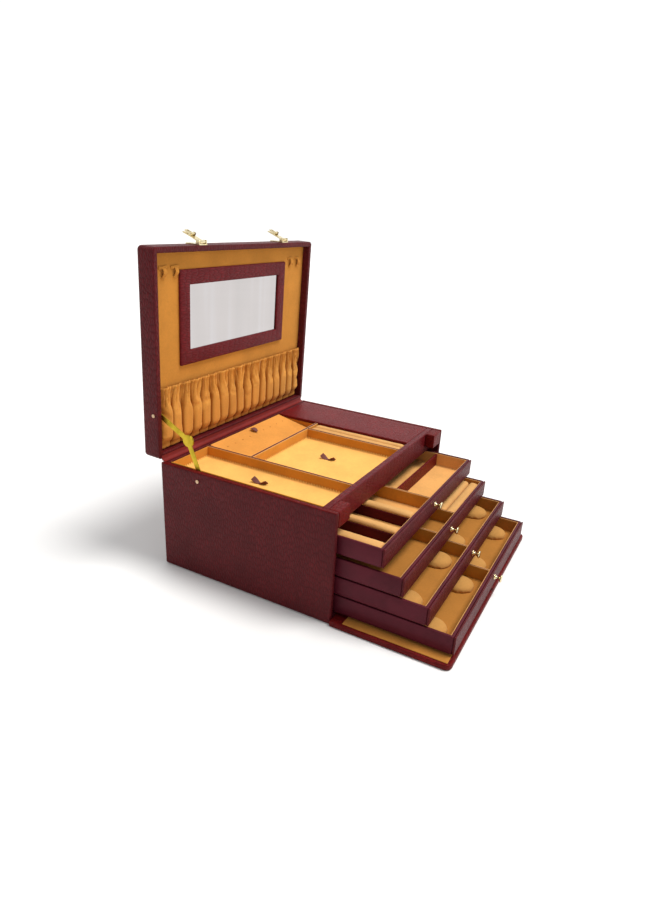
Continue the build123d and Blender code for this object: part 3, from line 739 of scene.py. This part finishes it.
def pinked_pad(name, node, body, seed):
    """A floor pad of suede over board, lying a little unevenly, its zigzag-cut edge turned up at the walls."""
    low, high = place(node)
    counts, stops_at = [], []
    for start, end in ((low.x, high.x), (low.y, high.y)):
        count = 2 * round((end - start) / TOOTH)
        inner = [start + TURN_UP + (end - start - 2 * TURN_UP) * k / (count - 2) for k in range(count - 1)]
        counts.append(count)
        stops_at.append([start, *inner, end])
    nx, ny = counts
    points, faces = [], []
    for layer, z in ((0, high.z), (1, low.z)):
        for i, x in enumerate(stops_at[0]):
            for j, y in enumerate(stops_at[1]):
                lift = 0.0
                if layer == 0:
                    to_edge = min(x - low.x, high.x - x, y - low.y, high.y - y)
                    lift = 0.9 * drift(x / 34, y / 34, seed) * min(1, to_edge / 12)
                    if i in (0, nx) or j in (0, ny):
                        tip = (j if i in (0, nx) else i) % 2 == 0
                        lift = TOOTH_UP if tip else NOTCH_UP
                points.append((x, y, z + lift))
    count = (nx + 1) * (ny + 1)
    for quad in grid_quads(nx, ny):
        faces.append(quad)
        faces.append(tuple(count + k for k in reversed(quad)))
    for a, b in around(nx, ny):
        faces.append((b, a, a + count, b + count))
    made = piece(name, (points, faces), FLOOR_PAD, body, [node])


def leaf_pull(name, node, body):
    """A strip of leather drawn through a slit, its two blunt ends springing up and turning like leaves."""
    low, high = place(node)
    middle = (low + high) / 2
    reach = (high.y - low.y) / 2 - 1.2
    rise = high.z - low.z - 2.6
    straps = []
    for side, twist in ((-1, 1.0), (1, -0.7)):
        path = []
        for t in ways(9):
            lift = (0.35 * t + 0.65 * t ** 1.6) * (0.62 if side < 0 else 1.0)
            path.append(Vector((middle.x + 1.2 * twist * t * t, middle.y + side * (0.2 + reach * t ** 0.9),
                                low.z + 0.5 + rise * lift)))
        straps.append(swept(path, lambda t: 1.6 + 1.7 * math.sin(math.pi * min(1, 0.1 + 0.55 * t)), 0.45,
                            lambda t, twist=twist: (1.0, 0.0, -1.15 * twist * min(1.0, 1.6 * t))))
    piece(name, together(*straps), LEAF, body, [node])


EYELETS = 9
EYELET_PITCH = 16.0


def earring_board():
    """The sloping panel: suede over board, pierced with a row of small holes for earring posts."""
    low, high = place("earring_panel")
    joint = JOINTS["earring_panel_hinge"]
    pivot = Vector(joint["pos_m"]) / MM
    radius = pivot.z - low.z
    slope = math.atan2(high.z - pivot.z - radius, high.y - pivot.y)
    length = (high.y - pivot.y) / math.cos(slope)
    tilt = Matrix.Translation(pivot) @ Matrix.Rotation(slope, 4, "X")
    board = rounded((low.x, 0.0, -radius), (high.x, length, radius), 0.9, (20, 8, 1), wavy(0.25, 26.0, 4.0))
    bead = turned([(low.x, 0.2), (low.x + 0.4, radius), (high.x - 0.4, radius), (high.x, 0.2)], (0, 0, 0), (1, 0, 0))
    made = piece("earring_board", together(board, bead), PANEL, "earring_flap", ["earring_panel"],
                 turn=tilt)
    eyelets = []
    for k in range(EYELETS):
        x = low.x + EYELET_PITCH * (k + 0.9)
        eyelets.append(turned([(-0.1, 0.85), (0.12, 0.85), (0.2, 0.6), (0.05, 0.35), (-0.1, 0.3)],
                              (x, length * 0.72, radius + 0.15), (0, 0, 1), 14))
    # The holes' darker colour is painted shade.
    piece("earring_holes", together(*eyelets), HOLE_SHADE, "earring_flap", turn=tilt)
    low, high = place("earring_pull")
    path = [Vector((0.5 * t, high.y - (high.y - low.y) * t, high.z - 2.7 * t + 1.6 * math.sin(math.pi * t) - 1.0))
            for t in ways(8)]
    piece("earring_tab", swept(path, lambda t: 4.0 - 0.5 * t - 1.6 * max(0.0, t - 0.75) / 0.25, 0.5, (1, 0, 0)),
          LEAF, "earring_flap", ["earring_pull"])


case_boards()
well()
pinked_pad("left_floor", "left_pad", "left_floor_pad", 1.0)
pinked_pad("centre_floor", "centre_pad", "centre_floor_pad", 2.0)
leaf_pull("left_floor_pull", "left_pad_pull", "left_floor_pad")
leaf_pull("centre_floor_pull", "centre_pad_pull", "centre_floor_pad")
earring_board()


# ---- lid ----
def lid_shell():
    """Walls and padded top as one leather-wrapped shell, open towards the case."""
    low, high = shut("lid_walls")
    inner_low, inner_high = shut("lid_lining")
    wall = inner_low.x - low.x
    edge, rim, corner = 4.0, 1.3, 5.0
    rings = []
    for inset, lift in ((96, 1.3), (60, 1.2), (30, 0.8), (12, 0.3)):
        rings.append(inset_ring(low, high, inset, 3, high.z + lift))
    rings += reversed(roll_edge(low, high, 0, high.z - edge, edge, corner))
    rings += roll_edge(low, high, 0, low.z + rim, rim, corner, sign=-1)
    rings += reversed(roll_edge(low, high, wall - 2 * rim, low.z + rim, rim, corner,
                                turn_from=180, turn_to=90, sign=-1))
    rings.append(inset_ring(low, high, wall, 1.0, inner_high.z))
    rings.reverse()
    piece("lid_shell", lofted(rings), CROC, "lid", ["lid_walls", "lid_top"], turn=LID_UP)


def lid_suede():
    """The suede that lines the lid, softly padded, dipping to its edges."""
    low, high = shut("lid_lining")

    def soft(point):
        inset = min(point.x - low.x, high.x - point.x, point.y - low.y, high.y - point.y)
        belly = 0.9 * (1 - math.exp(-max(0.0, inset) / 7)) + 0.35 * drift(point.x / 40, point.y / 40, 3.0)
        return point - Vector((0, 0, belly if point.z < (low.z + high.z) / 2 else 0))

    made = piece("lid_suede", rounded(low, high, 0.5, (60, 44, 1), soft), LINING, "lid",
                 ["lid_lining"], turn=LID_UP)


def mirror_surround():
    """Leather-wrapped frame of the mirror, its face slightly domed, and the glass behind it."""
    low, high = shut("mirror_frame")
    glass_low, glass_high = shut("mirror")
    lap = 3.8  # the glass runs this far behind the frame
    opening = glass_low.x + lap - low.x
    face = low.z
    rings = roll_edge(low, high, 0, face + 1.4, 1.4, 2.0, sign=-1)
    for share in (0.35, 0.65):
        rings.append(inset_ring(low, high, opening * share, 1.0, face - 0.35))
    rings += reversed(roll_edge(low, high, opening - 2 * 1.2, face + 1.2, 1.2, 2.0,
                                turn_from=180, turn_to=90, sign=-1))
    rings.append(inset_ring(low, high, opening, 0.6, high.z))
    rings.append(inset_ring(low, high, 0, 2.0, high.z))
    rings.reverse()
    piece("mirror_surround", lofted(rings, closed=True), CROC_WIDE, "lid", ["mirror_frame"],
          turn=LID_UP)
    piece("mirror_glass", rounded(glass_low, glass_high, 0.4), GLASS, "lid", ["mirror"], turn=LID_UP)
    back, front = high.z - 0.2, high.z - 1.5
    backing = [inset_ring(low, high, inset, 2.0, z)
               for inset, z in ((-0.3, front), (-0.3, back), (4.0, back), (4.0, front))]
    piece("mirror_backing", lofted(backing, closed=True), LINING, "lid", turn=LID_UP)


PLEATS = 17
PLEAT_COLUMNS = 18  # faces across each pleat
POCKET_ROWS = 36
POCKET_SHEET = 0.9
POCKET_CLEAR = 0.9  # the cloth's mid-plane to the lining, at its closest
POCKET_CAP = 1.6  # how far the simulation may move the pocket's cloth
POCKET_DEPTH = 8.2  # how far the pocket may stand out of the lining


def phase_at(across, way):
    """Which pleat a spot of the pocket lies in, counted from the left; the folds wander as they rise."""
    return across * PLEATS + 0.34 * drift(across * 16, way * 1.7, 7.0) * way


def pucker_drift(across, way):
    """How far the fine gathers at the mouth stray from an even pitch."""
    return 0.6 * drift(across * 24, way * 2, 1)


def pleat(across, way):
    """How far the pocket's cloth stands out, from its pleat and how far up the pocket it is."""
    phase = phase_at(across, way)
    u = phase - math.floor(phase)
    fold = abs(math.sin(math.pi * u ** 0.85)) ** 0.62
    size = 0.9 + 0.35 * drift(math.floor(phase) * 1.7, 0.0, 2.0)
    puff = 0.22 + 0.78 * smooth((way - 0.04) / 0.18)
    gathered = smooth((way - 0.60) / 0.30)
    fine = 0.5 + 0.5 * math.sin(math.tau * (phase * 3.0 + pucker_drift(across, way)))
    frill = smooth((way - 0.93) / 0.07)
    return (puff * (1 - 0.66 * gathered) * fold * size * 7.2 + gathered * (0.4 + fine * 3.1) + 1.1 * frill
            + 0.5 * drift(across * 30, way * 4, 5.0) * puff)


def fold_shade(across, way):
    """How much painted shade a spot of the pocket gets, from 0 to 1: deepest in each fold and fading slowly up each
    pleat's left flank, in the fine gathers at the mouth, and in a band of painted shadow under the puff above the
    hem.
    """
    phase = phase_at(across, way)
    past_fold = phase - round(phase)
    gathered = smooth((way - 0.62) / 0.28)
    fine = abs(((phase * 3.0 + 0.25 + pucker_drift(across, way)) % 1.0) - 0.5)
    # Painted shadow under the puff just above the hem.
    under = 0.40 * math.exp(-((way - 0.085) / 0.035) ** 2) * smooth(abs(past_fold) / 0.12)
    # Painted shade down each fold, fading slowly to its right.
    reach = 0.30 if past_fold > 0 else 0.11
    deep = math.exp(-(past_fold / reach) ** 2) * (0.75 + 0.25 * smooth(way / 0.1)) * (1 - 0.55 * gathered)
    return min(1.0, deep + gathered * 0.8 * math.exp(-((0.5 - fine) / 0.16) ** 2) * (1 - smooth((way - 0.95) / 0.04))
               + under)


def clamp_depth(spot, flat_z):
    """Keep a point of the pocket, given in the open lid, between the lining and the pocket's depth."""
    closed = LID_SHUT @ spot
    closed.z = min(flat_z - POCKET_CLEAR, max(flat_z - POCKET_DEPTH, closed.z))
    return LID_UP @ closed


def elastic_pocket():
    """A suede pocket, pleated along its pressed bottom hem and drawn up by elastic at its mouth."""
    low, high = shut("elastic_pocket")
    width, height = high.x - low.x, high.y - low.y
    nx, ny = PLEATS * PLEAT_COLUMNS, POCKET_ROWS
    points, creases = [], []
    for i in range(nx + 1):
        t = i / nx * PLEATS
        for j in range(ny + 1):
            way = j / ny
            bunch = 0.145 * (1 - smooth((way - 0.5) / 0.35))
            across = (t - bunch * math.sin(math.tau * t)) / PLEATS
            lean = 0.0 if i in (0, nx) else 1.3 * drift(across * 14, way * 2.2) * math.sin(math.pi * way)
            mouth = 0.9 * drift(across * 60, 0, 9.0) * max(0.0, (way - 0.9) / 0.1)
            points.append((low.x + width * across + lean, high.y - height * way + mouth,
                           high.z - POCKET_CLEAR - max(0.0, pleat(t / PLEATS, way))))
            # Painted fold shade of this point.
            creases.append(fold_shade(t / PLEATS, way))
    faces = [(a, d, c, b) for a, b, c, d in grid_quads(nx, ny)]
    flat_z = high.z

    def drape(made):
        """Let the cloth grow a little between its sewn edges, so that it creases of its own accord."""
        # Store each point's painted fold shade on the mesh, for the pocket's suede to darken by.
        marks = made.data.attributes.new("fold_shade", "FLOAT", "POINT")
        for k, value in enumerate(creases):
            marks.data[k].value = value
        pinned = made.vertex_groups.new(name="sewn")
        for i in range(nx + 1):
            for j in range(ny + 1):
                if i in (0, nx) or j < 2 or j > ny - 5:
                    pinned.add([i * (ny + 1) + j], 1.0, "ADD")
        settle(made, POCKET_CAP, lambda spot: clamp_depth(spot, flat_z), pin="sewn", grow=0.05)

    made = piece("pocket", (points, faces), POCKET, "lid", ["elastic_pocket"], turn=LID_UP, sharp=80,
                 soften=drape)
    thick = made.modifiers.new("thickness", "SOLIDIFY")
    thick.thickness = POCKET_SHEET * MM
    thick.offset = 0.0


def necklace_straps():
    """Short suede loops that a chain hangs from, each under a stitched-down crosspiece."""
    straps = []
    for k, (low, high) in enumerate(parts_of("necklace_tabs", LID_SHUT)):
        middle = (low + high) / 2
        length = high.y - low.y
        away = high.z - 0.4
        path = [Vector((middle.x + 0.8 * math.sin(3 * t + k), low.y + 2.0 + (length - 2.6) * t,
                        away - 0.5 - 3.3 * math.sin(math.pi * min(1, t * 1.1)) ** 1.2 - 1.6 * max(0.0, t - 0.85)))
                for t in ways(12)]
        straps.append(swept(path, 2.7, 0.5, (1, 0, 0)))
        bar = [Vector((middle.x - 6.5 + 13 * t, low.y + 3.2 + 0.4 * math.sin(5 * t + k),
                       away - 0.7 - 0.5 * math.sin(math.pi * t))) for t in ways(8)]
        straps.append(swept(bar, 1.7, 0.5, (0, 1, 0)))
    piece("necklace_straps", together(*straps), LINING, "lid", ["necklace_tabs"], turn=LID_UP)


def lid_hinge_tape():
    """The strip of leather glued over the lid's hinge, from the back of the well up the inside of the lid."""
    path = [(112.6, 134.05), (116.2, 134.35), (117.2, 135.2), (117.75, 136.6), (117.9, 139.8)]
    thick = 0.35
    section = path + [(y - thick, z + thick) for y, z in reversed(path)]
    made = piece("lid_hinge_tape", extruded(section, 156.0), SPINE, None, sharp=70)
    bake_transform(made)


lid_shell()
lid_hinge_tape()
lid_suede()
mirror_surround()
elastic_pocket()
necklace_straps()


# ---- front flap ----
def flap():
    low, high = place("flap_board")
    suede_low, suede_high = place("flap_lining")
    tucked = high.y + 4.6  # the board's back edge runs on under the spine
    edge, corner = 1.6, 7.0

    def outline(inset, z):
        return ring(low.x + inset, low.y + inset, high.x - inset, tucked - inset, corner - inset, z, back=0.5)

    rings = [outline(edge * (1 - math.cos(a)), low.z + edge * (1 - math.sin(a))) for a in reversed(quarter())]
    rings += [outline(edge * (1 - math.cos(a)), high.z - edge * (1 - math.sin(a))) for a in quarter()]
    piece("flap_leather", lofted(rings), CROC_RED, "flap", ["flap_board"])
    suede_low -= Vector((3.0, 1.5, 0.0))     # the suede laps a little further over the board
    suede_high += Vector((3.0, 0.0, 0.0))
    made = piece("flap_suede", rounded(suede_low, suede_high, 0.45, (40, 16, 1), wavy(0.3, 30.0, 6.0)), DRAWER_FLOOR,
                 "flap", ["flap_lining"])


def hinge_tape():
    """The leather spine that crosses from the case's foot to the flap and hides the hinge between them."""
    flap_high = place("flap_board")[1]
    near, far = place("base_board")[0].y - 0.3, flap_high.y - 0.4
    top = flap_high.z
    section = [(near, 0.5), (near - 0.4, 0.3), (far + 0.4, 0.3), (far, 0.6), (far - 0.3, top - 0.6),
               (far + 0.6, top + 0.1), (far + 3.0, top + 0.4), (near - 2.2, top + 0.4), (near - 0.4, top + 0.1),
               (near, top - 0.8)]
    made = piece("hinge_tape", extruded(section, flap_high.x - 0.6), CROC_RED, None, sharp=50)
    hinge = Vector(JOINTS["flap_hinge"]["pos_m"])
    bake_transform(made)


flap()
hinge_tape()


# ---- drawers ----
FRONT_LEATHER = 2.5  # thickness of the printed leather panel on each drawer front


def drawer_shell(n):
    """Leather-wrapped tray: a smooth body behind a crocodile-print front panel."""
    body = f"drawer_{n}"
    low, high = place(f"drawer_{n}_box")
    liner_low, liner_high = place(f"drawer_{n}_lining")
    side = liner_low.x - low.x
    front = liner_low.y - low.y
    back = high.y - liner_high.y
    y0 = low.y + FRONT_LEATHER + 0.15
    edge = 1.0

    def outer(inset, z):
        return ring(low.x + inset, y0 + inset, high.x - inset, high.y - inset, 1.8, z)

    def inner(inset, z):
        return ring(low.x + side - inset, low.y + front - inset, high.x - side + inset, high.y - back + inset, 0.6, z)

    rings = [outer(edge, low.z), outer(0.3, low.z + 0.3), outer(0, low.z + edge), outer(0, high.z - edge),
             outer(0.3, high.z - 0.3), outer(edge, high.z), inner(0.9, high.z), inner(0.25, high.z - 0.3),
             inner(0, high.z - 0.9), inner(0, liner_low.z)]
    piece(f"drawer_{n}_tray", lofted(rings), SMOOTH, body, [f"drawer_{n}_box"])
    piece(f"drawer_{n}_front", rounded((low.x, low.y, low.z), (high.x, low.y + FRONT_LEATHER, high.z), 1.1,
                                       (16, 1, 2)), CROC, body)


def drawer_suede(n):
    """The drawer's suede: floor and walls in one, and the paler line of its cut top edge."""
    body = f"drawer_{n}"
    low, high = place(f"drawer_{n}_lining")
    skin = 1.0
    fillet = 1.6

    def wall(inset, z):
        return inset_ring(low, high, inset, 1.0, z)

    top = high.z - 0.35
    rings = [wall(0.05, low.z), wall(0.02, top), wall(skin, top)]
    for angle in quarter():
        rings.append(wall(skin + fillet * (1 - math.cos(angle)), low.z + 1.0 + fillet * (1 - math.sin(angle))))
    piece(f"drawer_{n}_suede", lofted(rings), TOP_DRAWER if n == 1 else DRAWER_FLOOR, body,
          [f"drawer_{n}_lining"])
    edge = [wall(0.05, top - 0.2), wall(0.1, top + 0.5), wall(0.5, top + 0.7), wall(0.8, top + 0.5),
            wall(1.02, top - 0.2)]
    piece(f"drawer_{n}_cut_edge", lofted(edge, closed=True), PALE, body)


def drawer_knob(n):
    """A small turned brass knob on its backplate."""
    low, high = place(f"drawer_{n}_knob")
    centre = Vector(((low.x + high.x) / 2, high.y, (low.z + high.z) / 2))
    reach = high.y - low.y
    widest = (high.x - low.x) / 2
    profile = [(0.0, 0.72), (0.05, 0.74), (0.10, 0.70), (0.14, 0.50), (0.22, 0.36), (0.40, 0.31), (0.55, 0.36),
               (0.68, 0.56), (0.78, 0.84), (0.85, 0.97), (0.90, 1.0), (0.95, 0.96), (0.985, 0.80), (1.0, 0.35)]
    shape = [(along * reach, radius * widest) for along, radius in profile]
    piece(f"drawer_{n}_pull_knob", turned(shape, centre, (0, -1, 0), 36), BRASS, f"drawer_{n}",
          [f"drawer_{n}_knob"], sharp=60)


def divider(name, n, node):
    """Partitions of one drawer: leather cores skinned with suede, or plain leather across drawer 1."""
    for k, (low, high) in enumerate(parts_of(node)):
        replaces = first_only(k, node)
        if n == 1 and high.x - low.x > high.y - low.y:
            piece(f"{name}_{k + 1}", rounded(low, high, 0.7, (10, 1, 1)), CROC_RED, "drawer_1",
                  replaces)
        else:
            lined_wall(f"{name}_{k + 1}", low, high, f"drawer_{n}", replaces, top_drop=0.5)


def padded_bars():
    """Drawer 1's bars: dark leather sides under a suede-padded top."""
    for k, (low, high) in enumerate(parts_of("drawer_1_bars")):
        cap = 5.0
        core = rounded(low, (high.x, high.y, high.z - cap + 1), 0.5)
        piece(f"bar_{k + 1}_core", core, DARK, "drawer_1", first_only(k, "drawer_1_bars"))
        crown = (low.x + high.x) / 2
        half = (high.x - low.x) / 2
        base = high.z - cap

        def soft(point, crown=crown, half=half, k=k):
            bulge = 0.7 * (1 - ((point.x - crown) / half) ** 2)
            ripple = 0.25 * drift(point.x / 12, point.y / 12, k)
            return point + Vector((0, 0, bulge + ripple if point.z > high.z - 1.5 else 0))

        inner_low = Vector((low.x + 0.4, low.y + 0.4, base))
        inner_high = Vector((high.x - 0.4, high.y - 0.4, high.z - 0.3))
        made = piece(f"bar_{k + 1}_pad", rounded(inner_low, inner_high, 1.9, (5, 40, 1), soft), PAD_TOP,
                     "drawer_1", soften=lambda made, box=(low, high, base): swell(made, 2.0, 0.5, box))


def drawer_rolls():
    """Drawer 2's ring rolls: firm suede rolls side by side."""
    rolls = []
    for k, (low, high) in enumerate(parts_of("drawer_2_rolls")):
        rolls.append(rounded(low, high, 4.6, (30, 2, 2), wavy(0.4, 10.0, k)))
    made = piece("drawer_2_ring_rolls", together(*rolls), PAD_TOP, "drawer_2", ["drawer_2_rolls"])


def bolster(low, high, seed):
    """A long rounded bolster, domed in section and round at both ends."""
    centre = (low + high) / 2
    half_wide = (high.x - low.x) / 2
    straight = (high.y - low.y) / 2 - half_wide
    height = high.z - low.z
    rings = []
    for k in range(13):
        angle = math.pi / 2 * k / 12
        shrink = half_wide * (1 - math.cos(angle) ** 0.8) if k < 12 else half_wide - 0.05
        z = low.z + height * math.sin(angle) ** 0.85
        radius = half_wide - shrink
        loop = []
        for end in (1, -1):
            for j in range(17):
                turn = math.pi * j / 16 + (0 if end > 0 else math.pi)
                spot = Vector((centre.x + radius * math.cos(turn), centre.y + end * straight
                               + radius * math.sin(turn), z))
                spot.z += 0.3 * drift(spot.x / 14, spot.y / 14, seed) * math.sin(angle)
                loop.append(spot)
        rings.append(loop)
    return lofted(rings)


def bolsters(n):
    for k, (low, high) in enumerate(parts_of(f"drawer_{n}_pads")):
        inner_low = low + Vector((0.5, 0.5, 0.0))
        inner_high = high - Vector((0.5, 0.5, -0.6))
        made = piece(f"drawer_{n}_bolster_{k + 1}", bolster(inner_low, inner_high, n + k), BOLSTER, f"drawer_{n}",
                     first_only(k, f"drawer_{n}_pads"),
                     soften=lambda made, box=(low, high, low.z): swell(made, 2.6, 0.35, box))


for number in range(1, 5):
    drawer_shell(number)
    drawer_suede(number)
    drawer_knob(number)
for number, node_name in enumerate(("dividers", "dividers", "divider", "divider"), 1):
    divider(f"drawer_{number}_wall", number, f"drawer_{number}_{node_name}")
padded_bars()
drawer_rolls()
for number in (3, 4):
    bolsters(number)


# ---- carried-over CAD nodes ----
def finish_node(node, material, bevel=0.0):
    """Give a CAD node its material, and soften its edges."""
    made = frame["nodes"][node]
    made.data.materials.clear()
    made.data.materials.append(material)
    if bevel:
        weld = made.modifiers.new("weld", "WELD")
        weld.merge_threshold = 0.00001
        soften = made.modifiers.new("soften", "BEVEL")
        soften.width = bevel * MM
        soften.segments = 2
        soften.limit_method = "ANGLE"
        soften.angle_limit = math.radians(40)


FINISHES = (
    (SMOOTH, 0.5, ("base_board",)),
    (BOARD, 0.3, ("shelf_boards", "drawer_runners")),
    (BRASS, 0.12, ("hinge_leaves_case", "hinge_leaf_lid", "flap_hinge_leaf", "catch_plates")),
    (BRASS, 0.25, ("hasp_plates", "hasp_lever_left", "hasp_lever_right", "hasp_loop_left", "hasp_loop_right")),
    (RIVET, 0.3, ("stay_rivet_case", "stay_rivet_lid")),
    (STAY, 0.2, ("stay_lower", "stay_upper")),
    (STEEL, 0.1, ("hinge_pins",)),
)
for finish, width, nodes in FINISHES:
    for node_name in nodes:
        finish_node(node_name, finish, width)
